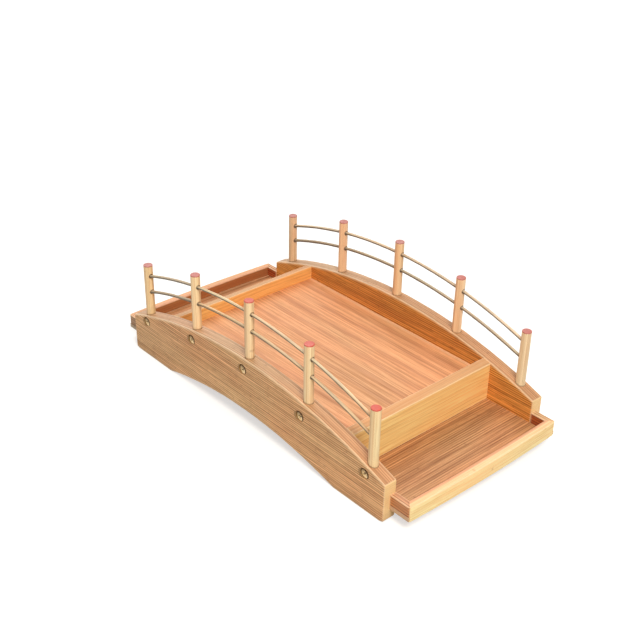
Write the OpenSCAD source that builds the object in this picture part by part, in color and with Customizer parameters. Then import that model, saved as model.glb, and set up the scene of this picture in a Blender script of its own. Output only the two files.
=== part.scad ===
// Arched serving bridge for sushi, in bamboo. Two arched side panels carry a sunken deck in the middle
// and a lower tray at each end. Five turned posts stand in the curved top of each panel, and two bent
// rails are threaded through them. Brass screws through the outer faces pin the posts.
// Origin: on the table under the middle. +X runs along the bridge, -Y is the near side, +Z is up.

/* [Side panels] */
// Length of an arched side panel, from foot end to foot end
panel_l = 400; // [370:1:440]
// Thickness of a side panel
panel_t = 15; // [14:0.5:20]
// Height of the panel's curved top at the middle
panel_mid_h = 78.5; // [74:0.5:90]
// Height of the panel's curved top at its two ends
panel_end_h = 42.5; // [39:0.5:50]
// Clear width between the two side panels
inner_w = 190; // [140:1:240]
// Rise of the long arch cut under a panel
arch_rise = 17.5; // [8:0.5:22]
// Length of the flat foot at each end of a panel
foot_l = 67; // [40:1:90]
// Bevel along the panel's edges
panel_ease = 1; // [0.4:0.1:2]
// Bevel at the bottom corner of a foot
foot_ease = 2.5; // [0.5:0.5:5]
// Depth of the grooves in the panels' inner faces
groove_d = 7.5; // [4:0.5:8]

/* [Deck and risers] */
// Thickness of the deck board
deck_t = 6; // [4.5:0.5:7]
// Thickness of the tongue left round the deck's lower edge
tongue_t = 3.5; // [2.5:0.5:4]
// Depth of the deck below the top of a riser
deck_drop = 16; // [12:0.5:18]
// Thickness of a riser
riser_t = 10; // [9:0.5:14]
// Depth of the groove in a riser that holds the deck's end
riser_groove_d = 4; // [2:0.5:5]
// Bevel along a riser's top edges
riser_ease = 0.6; // [0.2:0.1:1]
// Diameter of the dowels that join a riser to the panels
dowel_d = 5; // [4:0.5:6]
// Length of a riser dowel
dowel_l = 24; // [20:1:34]
// Length of a riser dowel that sits in the panel
dowel_panel_l = 8; // [5:0.5:11]

/* [End trays] */
// Length of a tray between its riser and the panels' ends
tray_in_l = 56.5; // [45:0.5:70]
// Reach of a tray past the panels' ends
tray_reach = 24.5; // [16:0.5:40]
// Height of a tray's underside above the table
tray_z = 12.5; // [6:0.5:14]
// Outer height of a tray's rim
rim_h = 16.5; // [12:0.5:22]
// Thickness of a tray's floor board
floor_t = 5; // [3:0.5:6]
// Thickness of a tray's end wall
end_wall_t = 8; // [6:0.5:12]
// Outward bow of an end wall's outer face at its middle
end_bow = 2.5; // [1:0.5:5]
// Outward bow of an end wall's inner face at its middle
end_bow_in = 1.5; // [0.5:0.5:3]
// Radius of a tray's outer corners, seen from above
corner_r = 3; // [1:0.5:6]
// Bevel along the edges of a tray's rim and floor
rim_ease = 0.8; // [0.2:0.1:1.2]

/* [Posts] */
// Diameter of a post
post_d = 10; // [8:0.5:11]
// Distance from a panel's end to the middle of its end post
post_inset = 23; // [16:0.5:40]
// Height of the middle post above the panel's top
post_h = 63.5; // [56:0.5:90]
// Depth of a post in the panel
post_seat = 20; // [14:0.5:22]
// Bevel round a post's two ends
post_ease = 0.6; // [0.2:0.1:1.5]

/* [Rails] */
// Diameter of a rail
rail_d = 3.4; // [2.4:0.1:5]
// Height of the upper rail above the panel's top, at the middle post
upper_rail_h = 49.5; // [42:0.5:54]
// Height of the lower rail above the panel's top, at the middle post
lower_rail_h = 30.5; // [20:0.5:38]
// Fall of the rails and of the post tops from the middle post to an end post
rail_fall = 31; // [20:0.5:40]
// Depth of a rail's end in an end post
rail_seat = 7; // [5.5:0.5:7.5]
// Clearance round a rail in a post
rail_gap = 0.15; // [0.05:0.05:0.3]

/* [Screws] */
// Diameter of a screw's head
head_d = 11; // [7:0.5:11.5]
// Height of a screw's head with its crown
head_h = 1.6; // [1.2:0.1:1.8]
// Depth of the counterbore that takes a screw's head
head_seat = 2; // [1.8:0.1:3]
// Diameter of a screw's shank
shank_d = 3.5; // [2:0.5:4]
// Length of a screw under its head
shank_l = 8.5; // [6.5:0.5:9]
// Distance from the panel's top down to a screw, before the hand-set differences
screw_drop = 12; // [11:0.5:13]
// Width of the cross cut in a screw's head
cross_w = 1.5; // [0.8:0.1:1.8]

/* [Hidden] */
$fn = 96;
// A long shallow arc gets this many sides to a full circle.
arc_fn = 720;

// Overrun of a cut past the face that it opens
over = 1;
// Glue line round a tongue, a dowel or a post in its seat
glue_gap = 0.1;
// Clearance round a screw's head in its counterbore
head_gap = 0.15;
// Crown of a screw's head above its rim
head_crown = 0.9;
// Bevel at the two ends of a dowel
dowel_ease = 0.5;
// Heights of the two dowels at a riser's end, as shares of the riser's height
dowel_height_shares = [0.22, 0.82];
// Each screw was set by eye. These are its drops from post 1 to post 5, as shares of screw_drop.
screw_drop_shares = [0.6, 1, 1.1, 1.35, 0.8];
// These are its shifts to the right of the post's middle, as shares of post_d.
screw_shift_shares = [0.2, -0.1, -0.25, -0.4, -0.3];

// Radius of the arc that rises by `rise` over half a chord
function arc_radius(half_chord, rise) = (half_chord * half_chord + rise * rise) / (2 * rise);
// Height at x of an arc whose crown is at crown_z over the middle
function arc_z(x, crown_z, radius) = crown_z - radius + sqrt(radius * radius - x * x);

near = -1;
far = 1;
left = -1;
right = 1;

half_l = panel_l / 2;
inner_y = inner_w / 2;
outer_y = inner_y + panel_t;
post_y = inner_y + panel_t / 2;
tray_y = inner_y + groove_d;

top_r = arc_radius(half_l, panel_mid_h - panel_end_h);
arch_r = arc_radius(half_l - foot_l, arch_rise);
function top_z(x) = arc_z(x, panel_mid_h, top_r);

riser_x = half_l - tray_in_l - riser_t;
floor_z = tray_z + floor_t;
riser_h = top_z(riser_x) - floor_z;
deck_z = top_z(riser_x) - deck_drop;

corner_x = half_l + tray_reach;
rim_in_x = corner_x - end_wall_t;
bow_out_r = arc_radius(tray_y, end_bow);
bow_in_r = arc_radius(inner_y, end_bow_in);
bow_out_x = corner_x + end_bow - bow_out_r;
bow_in_x = rim_in_x + end_bow_in - bow_in_r;
// The rounding of a corner is tangent to the tray's side and to the bowed end.
corner_y = tray_y - corner_r;
corner_mid_x = bow_out_x + sqrt(pow(bow_out_r - corner_r, 2) - corner_y * corner_y);

post_pitch = (half_l - post_inset) / 2;
rail_r = arc_radius(2 * post_pitch, rail_fall);
upper_crown_z = panel_mid_h + upper_rail_h;
lower_crown_z = panel_mid_h + lower_rail_h;
post_top_crown_z = panel_mid_h + post_h;
rail_end_x = 2 * post_pitch - post_d / 2 + rail_seat;
post_numbers = [1, 2, 3, 4, 5];
function post_x(number) = (number - 3) * post_pitch;
function post_foot_z(number) = top_z(post_x(number)) - post_seat;
function post_top_z(number) = arc_z(post_x(number), post_top_crown_z, rail_r);
function screw_x(number) = post_x(number) + post_d * screw_shift_shares[number - 1];
function screw_z(number) = top_z(post_x(number)) - screw_drop * screw_drop_shares[number - 1];

bamboo = "#d9a873";
pale_bamboo = "#e8bd86";
rod_bamboo = "#d8b58a";
antique_brass = "#b59a5e";

// Puts a piece that is drawn for the near side and the right end on the side and the end asked for
module placed(side = near, end = right) {
    mirror([end == left ? 1 : 0, 0, 0]) mirror([0, side == far ? 1 : 0, 0]) children();
}

// Stands a shape drawn in X and Z on edge, from the plane y = from_y back towards -Y
module on_edge(from_y) {
    translate([0, from_y, 0]) rotate([90, 0, 0]) children();
}

// Lays a shape drawn in Y and Z along X, from the plane x = from_x
module along_x(from_x) {
    translate([from_x, 0, 0]) rotate([90, 0, 90]) children();
}

// Disc or rod with a bevel round both of its ends
module bevelled_disc(radius, thick, ease) {
    rotate_extrude()
        polygon([
            [0, 0], [radius - ease, 0], [radius, ease],
            [radius, thick - ease], [radius - ease, thick], [0, thick]
        ]);
}

// Panel before it is cut: the curved top, the straight feet and the bevelled ends
module panel_blank() {
    intersection() {
        translate([0, 0, panel_mid_h - top_r]) on_edge(-inner_y)
            bevelled_disc(top_r, panel_t, panel_ease, $fn = arc_fn);
        on_edge(-inner_y) linear_extrude(panel_t)
            polygon([
                [-half_l, foot_ease], [-half_l + foot_ease, 0], [half_l - foot_ease, 0], [half_l, foot_ease],
                [half_l, panel_mid_h], [-half_l, panel_mid_h]
            ]);
        linear_extrude(panel_mid_h)
            polygon([
                [-half_l, -inner_y - panel_ease], [-half_l + panel_ease, -inner_y],
                [half_l - panel_ease, -inner_y], [half_l, -inner_y - panel_ease],
                [half_l, -outer_y + panel_ease], [half_l - panel_ease, -outer_y],
                [-half_l + panel_ease, -outer_y], [-half_l, -outer_y + panel_ease]
            ]);
    }
}

// Long arch under a panel, cut right through
module arch_cut() {
    translate([0, 0, arch_rise - arch_r]) on_edge(-inner_y + over)
        cylinder(r = arch_r, h = panel_t + 2 * over, $fn = arc_fn);
}

// Grooves in a panel's inner face, for the deck's tongue and for the two tray floors
module panel_grooves() {
    tongue_end_x = riser_x + riser_groove_d + glue_gap;
    translate([-tongue_end_x, -tray_y - glue_gap, deck_z - deck_t - glue_gap])
        cube([2 * tongue_end_x, groove_d + glue_gap + over, tongue_t + 2 * glue_gap]);
    for (end = [left, right]) placed(end = end)
        translate([riser_x - glue_gap, -tray_y - glue_gap, tray_z - glue_gap])
            cube([half_l - riser_x + glue_gap + over, groove_d + glue_gap + over, floor_t + 2 * glue_gap]);
}

// Pilot hole for a screw's shank, from the near panel's outer face
module screw_hole(number) {
    deep = head_seat + shank_l + glue_gap;
    translate([screw_x(number), deep - outer_y, screw_z(number)]) rotate([90, 0, 0])
        cylinder(d = shank_d + 2 * glue_gap, h = deep + over);
}

// Bores in a panel's top for the posts, with a screw hole and a counterbore below each
module panel_bores() {
    for (number = post_numbers) {
        translate([post_x(number), -post_y, post_foot_z(number) - glue_gap])
            cylinder(d = post_d + 2 * glue_gap, h = post_seat + post_d);
        screw_hole(number);
        translate([screw_x(number), head_seat - outer_y, screw_z(number)]) rotate([90, 0, 0])
            cylinder(d = head_d + 2 * head_gap, h = head_seat + over);
    }
}

// Places a child at each riser dowel of the near side, pointing along -Y from the panel's inner face
module at_near_dowels() {
    for (end = [left, right], share = dowel_height_shares)
        translate([end * (riser_x + riser_t / 2), -inner_y, floor_z + riser_h * share])
            rotate([90, 0, 0]) children();
}

module side_panel(side) {
    color(bamboo) placed(side = side)
        difference() {
            panel_blank();
            arch_cut();
            panel_grooves();
            panel_bores();
            at_near_dowels() translate([0, 0, -over])
                cylinder(d = dowel_d + 2 * glue_gap, h = dowel_panel_l + glue_gap + over);
        }
}

// Deck board. Its top fills the space between the panels and the risers, and the tongue left round
// its lower edge sits in their grooves.
module deck_board() {
    tongue_end_x = riser_x + riser_groove_d;
    color(bamboo) {
        translate([-tongue_end_x, -tray_y, deck_z - deck_t]) cube([2 * tongue_end_x, 2 * tray_y, tongue_t]);
        translate([-riser_x, -inner_y, deck_z - deck_t]) cube([2 * riser_x, inner_w, deck_t]);
    }
}

// Riser across the bridge. It stands on the tray's floor, and its top is planed to the panels' curve.
module riser(end) {
    outer_x = riser_x + riser_t;
    color(pale_bamboo) placed(end = end)
        difference() {
            on_edge(inner_y) linear_extrude(inner_w)
                polygon([
                    [riser_x, floor_z], [outer_x, floor_z], [outer_x, top_z(outer_x) - riser_ease],
                    [outer_x - riser_ease, top_z(outer_x - riser_ease)],
                    [riser_x + riser_ease, top_z(riser_x + riser_ease)],
                    [riser_x, top_z(riser_x) - riser_ease]
                ]);
            translate([riser_x - over, -inner_y - over, deck_z - deck_t - glue_gap])
                cube([riser_groove_d + glue_gap + over, inner_w + 2 * over, tongue_t + 2 * glue_gap]);
            for (side = [near, far]) placed(side = side) at_near_dowels()
                translate([0, 0, dowel_panel_l - dowel_l - glue_gap])
                    cylinder(d = dowel_d + 2 * glue_gap, h = dowel_l + glue_gap);
        }
}

// Dowel pins, two at each end of each riser
module riser_dowels() {
    color(pale_bamboo)
        for (side = [near, far]) placed(side = side) at_near_dowels()
            translate([0, 0, dowel_panel_l - dowel_l]) bevelled_disc(dowel_d / 2, dowel_l, dowel_ease);
}

// Wedge between the two mitre lines at the corners of a tray, overrun by one wall each way
module mitre_wedge(from_z, high) {
    in_x = rim_in_x - end_wall_t;
    in_y = inner_y - groove_d;
    out_x = corner_x + end_wall_t;
    out_y = tray_y + groove_d;
    translate([0, 0, from_z]) linear_extrude(high)
        polygon([[in_x, -in_y], [out_x, -out_y], [out_x, out_y], [in_x, in_y]]);
}

// Space inside the bowed inner face of a tray's end wall, without the bevel at its top
module bow_inside(from_z, high) {
    translate([bow_in_x, 0, from_z]) cylinder(r = bow_in_r, h = high, $fn = arc_fn);
}

// What is cut off to round the two outer corners of a tray and to bevel the rounding's edges
module corner_cuts() {
    reach = corner_r + end_bow + over;
    for (side = [near, far]) placed(side = side)
        difference() {
            translate([corner_mid_x, -tray_y - over, tray_z - over])
                cube([reach, corner_r + over, rim_h + 2 * over]);
            translate([corner_mid_x, -corner_y, tray_z]) bevelled_disc(corner_r, rim_h, rim_ease);
        }
}

// Floor board of a tray: held in the panels' grooves, its outer end cut to the end wall and the mitres
module tray_floor(end) {
    color(bamboo) placed(end = end)
        difference() {
            along_x(riser_x) linear_extrude(corner_x + end_bow - riser_x)
                polygon([
                    [-tray_y, tray_z + rim_ease], [-tray_y + rim_ease, tray_z], [tray_y - rim_ease, tray_z],
                    [tray_y, tray_z + rim_ease], [tray_y, floor_z], [-tray_y, floor_z]
                ]);
            difference() {
                mitre_wedge(tray_z - over, floor_t + 2 * over);
                bow_inside(tray_z - 2 * over, floor_t + 4 * over);
            }
            corner_cuts();
        }
}

// End wall of a tray: slightly bowed outwards, mitred to the two short sides, with eased edges
module tray_end(end) {
    color(pale_bamboo) placed(end = end)
        difference() {
            intersection() {
                mitre_wedge(tray_z, rim_h);
                translate([bow_out_x, 0, tray_z]) bevelled_disc(bow_out_r, rim_h, rim_ease, $fn = arc_fn);
            }
            bow_inside(tray_z - over, rim_h + 2 * over);
            translate([bow_in_x, 0, tray_z + rim_h - rim_ease])
                cylinder(r1 = bow_in_r, r2 = bow_in_r + rim_ease + over, h = rim_ease + over, $fn = arc_fn);
            corner_cuts();
        }
}

// Short side wall of a tray: stands on the floor's edge, from the panel's end to the mitre
module tray_side(side, end) {
    rim_z = tray_z + rim_h;
    color(bamboo) placed(side, end)
        difference() {
            along_x(half_l) linear_extrude(tray_reach)
                polygon([
                    [-tray_y, floor_z], [-inner_y, floor_z], [-inner_y, rim_z - rim_ease],
                    [-inner_y - rim_ease, rim_z], [-tray_y + rim_ease, rim_z], [-tray_y, rim_z - rim_ease]
                ]);
            mitre_wedge(floor_z - over, rim_h);
            corner_cuts();
        }
}

// Hole for a rail through a post, square to the rail's arc. An end post is drilled from one side only.
module rail_hole(number, crown_z) {
    x = post_x(number);
    tilt = asin(x / rail_r);
    blind = rail_seat - post_d / 2 + glue_gap;
    from = number == 1 ? -blind : -post_d;
    to = number == 5 ? blind : post_d;
    translate([x, -post_y, arc_z(x, crown_z, rail_r)]) rotate([0, 90 + tilt, 0])
        translate([0, 0, from]) cylinder(d = rail_d + 2 * rail_gap, h = to - from);
}

// Turned post, with two rail holes and the pilot hole of its screw
module post(side, number) {
    color(pale_bamboo) placed(side = side)
        difference() {
            translate([post_x(number), -post_y, post_foot_z(number)])
                bevelled_disc(post_d / 2, post_top_z(number) - post_foot_z(number), post_ease);
            rail_hole(number, upper_crown_z);
            rail_hole(number, lower_crown_z);
            screw_hole(number);
        }
}

// Rail bent to one arc, threaded through the posts, with its ends inside the two end posts
module rail(side, crown_z) {
    sweep = asin(rail_end_x / rail_r);
    color(rod_bamboo) placed(side = side)
        translate([0, 0, crown_z - rail_r]) on_edge(-post_y) rotate([0, 0, 90 - sweep])
            rotate_extrude(angle = 2 * sweep, $fn = arc_fn)
                translate([rail_r, 0]) circle(d = rail_d, $fn = 48);
}

// Brass screw with a crowned head and a cross recess, drawn along +Z from its tip
module screw() {
    r = shank_d / 2;
    head_rim_h = head_h - head_crown;
    crown_r = arc_radius(head_d / 2, head_crown);
    rotate_extrude() polygon([[0, 0], [r, shank_d], [r, shank_l], [0, shank_l]]);
    difference() {
        translate([0, 0, shank_l]) intersection() {
            cylinder(d = head_d, h = head_h);
            translate([0, 0, head_h - crown_r]) sphere(r = crown_r, $fn = arc_fn / 2);
        }
        for (turn = [0, 90])
            rotate([0, 0, turn]) translate([-head_d / 4, -cross_w / 2, shank_l + head_rim_h])
                cube([head_d / 2, cross_w, head_crown + over]);
    }
}

// Screws of one side, one below each post, heads sunk in the outer face
module screws(side) {
    color(antique_brass) placed(side = side)
        for (number = post_numbers)
            translate([screw_x(number), head_seat + shank_l - outer_y, screw_z(number)])
                rotate([90, 0, 0]) screw();
}

side_panel(near);  // side_panel_near
side_panel(far);  // side_panel_far
deck_board();
riser(left);  // riser_left
riser(right);  // riser_right
riser_dowels();
tray_floor(left);  // tray_floor_left
tray_floor(right);  // tray_floor_right
tray_end(left);  // tray_end_left
tray_end(right);  // tray_end_right
tray_side(near, left);  // tray_side_near_left
tray_side(near, right);  // tray_side_near_right
tray_side(far, left);  // tray_side_far_left
tray_side(far, right);  // tray_side_far_right
post(near, 1);  // post_near_1
post(near, 2);  // post_near_2
post(near, 3);  // post_near_3
post(near, 4);  // post_near_4
post(near, 5);  // post_near_5
post(far, 1);  // post_far_1
post(far, 2);  // post_far_2
post(far, 3);  // post_far_3
post(far, 4);  // post_far_4
post(far, 5);  // post_far_5
rail(near, upper_crown_z);  // rail_near_upper
rail(near, lower_crown_z);  // rail_near_lower
rail(far, upper_crown_z);  // rail_far_upper
rail(far, lower_crown_z);  // rail_far_lower
screws(near);  // screws_near
screws(far);  // screws_far
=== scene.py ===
import bmesh
import bpy
import numpy as np
from mathutils import Matrix, Vector


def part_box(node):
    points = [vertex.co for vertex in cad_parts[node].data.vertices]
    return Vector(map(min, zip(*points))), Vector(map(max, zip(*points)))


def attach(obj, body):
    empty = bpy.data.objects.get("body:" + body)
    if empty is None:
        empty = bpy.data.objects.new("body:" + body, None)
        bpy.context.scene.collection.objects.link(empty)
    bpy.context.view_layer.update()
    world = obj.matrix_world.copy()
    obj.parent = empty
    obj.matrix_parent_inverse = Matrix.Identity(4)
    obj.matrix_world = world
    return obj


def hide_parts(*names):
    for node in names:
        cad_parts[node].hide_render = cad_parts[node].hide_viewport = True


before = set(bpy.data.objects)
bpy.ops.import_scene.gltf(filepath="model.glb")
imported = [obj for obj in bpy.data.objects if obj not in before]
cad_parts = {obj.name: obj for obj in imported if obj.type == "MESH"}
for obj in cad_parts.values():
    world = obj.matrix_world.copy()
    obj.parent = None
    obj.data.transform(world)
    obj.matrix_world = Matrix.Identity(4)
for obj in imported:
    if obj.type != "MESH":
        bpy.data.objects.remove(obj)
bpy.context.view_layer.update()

# Side panels: two bamboo boards set on edge, sawn to one arc above and a shorter one below, with
# their edges sanded round. They are glued up from narrow strips, bored on top for the posts and
# counterbored outside for the screws.
panel_low, panel_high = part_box("side_panel_near")
half_l = panel_high.x
inner_y = -panel_high.y
outer_y = -panel_low.y
panel_crown_z = panel_high.z
panel_end_z = 0.0425
arch_crown_z = 0.0175
foot_l = 0.067
foot_chamfer = 0.0025
panel_ease = 0.0012
panel_step = 0.004
panel_strip = 0.0024

sanding_waver = 0.00012
sanding_waves = (0.093, 0.041, 0.017)
sanding_shift = 2.1
ease_angles = np.linspace(0, np.pi / 2, 6)
least_ease = 0.00004
ease_room_share = 0.48
flat_shares = np.array([0.03, 0.12, 0.31, 0.5, 0.69, 0.88, 0.97])
sharp_angle = np.radians(40)

post_numbers = (1, 2, 3, 4, 5)
post_boxes = [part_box(f"post_near_{number}") for number in post_numbers]
post_x = np.array([(low.x + high.x) / 2 for low, high in post_boxes])
post_foot_z = np.array([low.z for low, high in post_boxes])
post_r = (post_boxes[2][1].x - post_boxes[2][0].x) / 2
post_y = (inner_y + outer_y) / 2
post_bore_gap = 0.00018
post_bore_h = 0.04
counterbore_r = 0.00565
counterbore_deep = 0.002
bore_sides = 64
screw_reach = 0.02


def srgb(red, green, blue):
    """Linear colour, with alpha, of a colour written in 0 to 255 steps, by the sRGB curve."""
    written = np.array([red, green, blue]) / 255
    linear = np.where(written <= 0.04045, written / 12.92, ((written + 0.055) / 1.055) ** 2.4)
    return (*linear.tolist(), 1.0)


def arc_radius(half_chord, rise):
    """Radius of the arc that rises by `rise` over half its chord: (half² + rise²) / (2 rise)."""
    return (half_chord ** 2 + rise ** 2) / (2 * rise)


def arc_height(x, crown, radius):
    """Height at x of an arc whose crown is over x = 0: the circle solved for its upper height."""
    return crown - radius + np.sqrt(radius ** 2 - np.square(x))


def waver(places, size, seed):
    """What a sanding hand leaves on an edge: half the sum of a long, a middle and a short sine wave,
    times size."""
    total = np.zeros(np.shape(places))
    for k, wave in enumerate(sanding_waves):
        total += np.sin(2 * np.pi * places / wave + seed * (sanding_shift + k))
    return size * total / 2


def stations(breaks, ease, step):
    """Places along a board: cosine spaced where an end is rounded, and even between the breaks."""
    turn = ease * (1 - np.cos(ease_angles))
    knots = [breaks[0] + ease, *breaks[1:-1], breaks[-1] - ease]
    runs = [np.linspace(a, b, max(2, round((b - a) / step)) + 1)[1:] for a, b in zip(knots, knots[1:])]
    return np.concatenate([breaks[0] + turn, *runs, breaks[-1] - turn[-2::-1]])


def board(along, low, high, bottom, top, eases, end_ease):
    """Closed board carried along its length, as points, faces and an edge mask.

    Each section is a rectangle from low to high and from bottom to top, with a quarter circle of
    its own radius at each corner: low bottom, high bottom, high top, low top. Within end_ease of an
    end the section draws in by e - sqrt(e² - (e - s)²), where s is the distance from that end.
    Points come back as (along, across, height).
    """
    count = len(along)
    low, high, bottom, top = (np.broadcast_to(side, count) + 0.0 for side in (low, high, bottom, top))
    inside = np.clip(end_ease - np.minimum(along - along[0], along[-1] - along), 0, end_ease)
    draw = end_ease - np.sqrt(end_ease ** 2 - inside ** 2)
    low, high, bottom, top = low + draw, high - draw, bottom + draw, top - draw
    room = ease_room_share * np.minimum(high - low, top - bottom)
    radii = np.clip(np.broadcast_to(eases, (count, 4)) - draw[:, None], least_ease, room[:, None])
    corners = []
    for k, (side, level, sx, sz) in enumerate([(low, bottom, 1, 1), (high, bottom, -1, 1),
                                               (high, top, -1, -1), (low, top, 1, -1)]):
        angle = np.pi + k * np.pi / 2 + ease_angles
        across = (side + sx * radii[:, k])[:, None] + radii[:, k, None] * np.cos(angle)
        height = (level + sz * radii[:, k])[:, None] + radii[:, k, None] * np.sin(angle)
        corners.append(np.stack([across, height], -1))
    parts, masks = [], []
    for k in range(4):
        start, end = corners[k][:, -1:], corners[(k + 1) % 4][:, :1]
        parts += [corners[k], start + (end - start) * flat_shares[None, :, None]]
        masks += [np.ones(len(ease_angles)), np.zeros(len(flat_shares))]
    ring = np.concatenate(parts, 1)
    edge = np.maximum(np.concatenate(masks)[None, :], (draw > 0)[:, None])
    points = np.dstack([np.broadcast_to(along[:, None], ring.shape[:2]), ring])
    return points.reshape(-1, 3), tube_faces(count, ring.shape[1]), edge.ravel()


def tube_faces(rings, sides):
    """Faces of a closed tube: a quad for each step along and round it, and one face for each end."""
    i, j = np.meshgrid(np.arange(rings - 1), np.arange(sides), indexing="ij")
    k = (j + 1) % sides
    quads = np.stack([i * sides + j, i * sides + k, (i + 1) * sides + k, (i + 1) * sides + j], -1)
    ends = [np.arange(sides)[::-1].tolist(), ((rings - 1) * sides + np.arange(sides)).tolist()]
    return quads.reshape(-1, 4).tolist() + ends


def turned(radii, heights, sides):
    """Closed turned solid about Z: (r(v) cos u, r(v) sin u, z(v)), its first and last ring flat."""
    u = np.linspace(0, 2 * np.pi, sides, endpoint=False)
    radii, heights = np.asarray(radii, float), np.asarray(heights, float)
    x, y = np.outer(radii, np.cos(u)), np.outer(radii, np.sin(u))
    points = np.dstack([x, y, np.broadcast_to(heights[:, None], x.shape)])
    return points.reshape(-1, 3), tube_faces(len(radii), sides)


def triples(owners, key):
    """The vectors that a mesh's vertices or faces hold, as an array with a row for each."""
    values = np.empty(len(owners) * 3, np.float32)
    owners.foreach_get(key, values)
    return values.reshape(-1, 3)


def add_mask(mesh, name, values, domain="POINT"):
    """Stores a number or a vector for each point or face, for the materials to read."""
    kind, key = ("FLOAT_VECTOR", "vector") if np.ndim(values) == 2 else ("FLOAT", "value")
    mesh.attributes.new(name, kind, domain).data.foreach_set(key, np.ravel(values).astype(np.float32))


def make_mesh(name, points, faces, masks=None):
    """Mesh object of points and faces, turned outward, smooth except at sharp angles."""
    mesh = bpy.data.meshes.new(name)
    mesh.from_pydata(points, [], faces)
    for mask, values in (masks or {}).items():
        add_mask(mesh, mask, values)
    skin = bmesh.new()
    skin.from_mesh(mesh)
    bmesh.ops.recalc_face_normals(skin, faces=skin.faces)
    skin.to_mesh(mesh)
    skin.free()
    mesh.polygons.foreach_set("use_smooth", np.ones(len(mesh.polygons), bool))
    mesh.set_sharp_from_angle(angle=sharp_angle)
    made = bpy.data.objects.new(name, mesh)
    bpy.context.scene.collection.objects.link(made)
    return made


def drill(piece, cutters):
    """Cuts solids out of a piece with an exact boolean for each, and keeps the result as its mesh."""
    for cutter in cutters:
        cut = piece.modifiers.new("bore", "BOOLEAN")
        cut.operation, cut.solver, cut.object = "DIFFERENCE", "EXACT", cutter
    bpy.context.view_layer.update()
    result = piece.evaluated_get(bpy.context.evaluated_depsgraph_get())
    mesh = bpy.data.meshes.new_from_object(result)
    piece.modifiers.clear()
    piece.data = mesh
    mesh.set_sharp_from_angle(angle=sharp_angle)
    for cutter in cutters:
        bpy.data.objects.remove(cutter)


def fit(piece, material, node):
    """Gives a finished piece its material, and puts it in place of its CAD node."""
    piece.data.materials.clear()
    piece.data.materials.append(material)
    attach(piece, "root")
    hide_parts(node)


def wire(tree, kind, inputs, **settings):
    """Adds a shader node, sets its properties, and fills its inputs with values or links."""
    made = tree.nodes.new("ShaderNode" + kind)
    for key, value in settings.items():
        setattr(made, key, value)
    for key, value in inputs.items():
        if isinstance(value, bpy.types.NodeSocket):
            tree.links.new(value, made.inputs[key])
        else:
            made.inputs[key].default_value = value
    return made


def sums(tree, operation, a, b=0.0, c=0.0):
    """Output of a Math node."""
    return wire(tree, "Math", {0: a, 1: b, 2: c}, operation=operation).outputs[0]


def ramp(tree, value, start, end, low=0.0, high=1.0):
    """Smooth step of a value from start to end, given out between low and high."""
    inputs = {"Value": value, "From Min": start, "From Max": end, "To Min": low, "To Max": high}
    return wire(tree, "MapRange", inputs, interpolation_type="SMOOTHSTEP").outputs["Result"]


def blend(tree, share, a, b, way="MIX"):
    """Colour mixed from a to b by share, or a multiplied by b as far as share says."""
    return wire(tree, "Mix", {0: share, 6: a, 7: b}, data_type="RGBA", blend_type=way).outputs[2]


def between(tree, share, a, b):
    """Number mixed from a to b by share."""
    return wire(tree, "Mix", {0: share, 2: a, 3: b}, data_type="FLOAT").outputs[0]


def noise(tree, place, waves, detail=2.0, roughness=0.5):
    """Noise over a place, which varies as many times in a metre as waves says along each axis."""
    scaled = wire(tree, "VectorMath", {0: place, 1: waves}, operation="MULTIPLY").outputs[0]
    inputs = {"Vector": scaled, "Scale": 1.0, "Detail": detail, "Roughness": roughness}
    return wire(tree, "TexNoise", inputs).outputs[0]


def place_on(tree):
    """Place on the piece, in metres."""
    return wire(tree, "TexCoord", {}).outputs["Object"]


def parts_of(tree, vector):
    """X, Y and Z of a vector."""
    return wire(tree, "SeparateXYZ", {0: vector}).outputs


def facing(tree):
    """X, Y and Z of the way that the surface faces."""
    return parts_of(tree, wire(tree, "NewGeometry", {}).outputs["Normal"])


def read_mask(tree, name):
    """A mask that the mesh holds."""
    return wire(tree, "Attribute", {}, attribute_name=name).outputs["Fac"]


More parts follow.
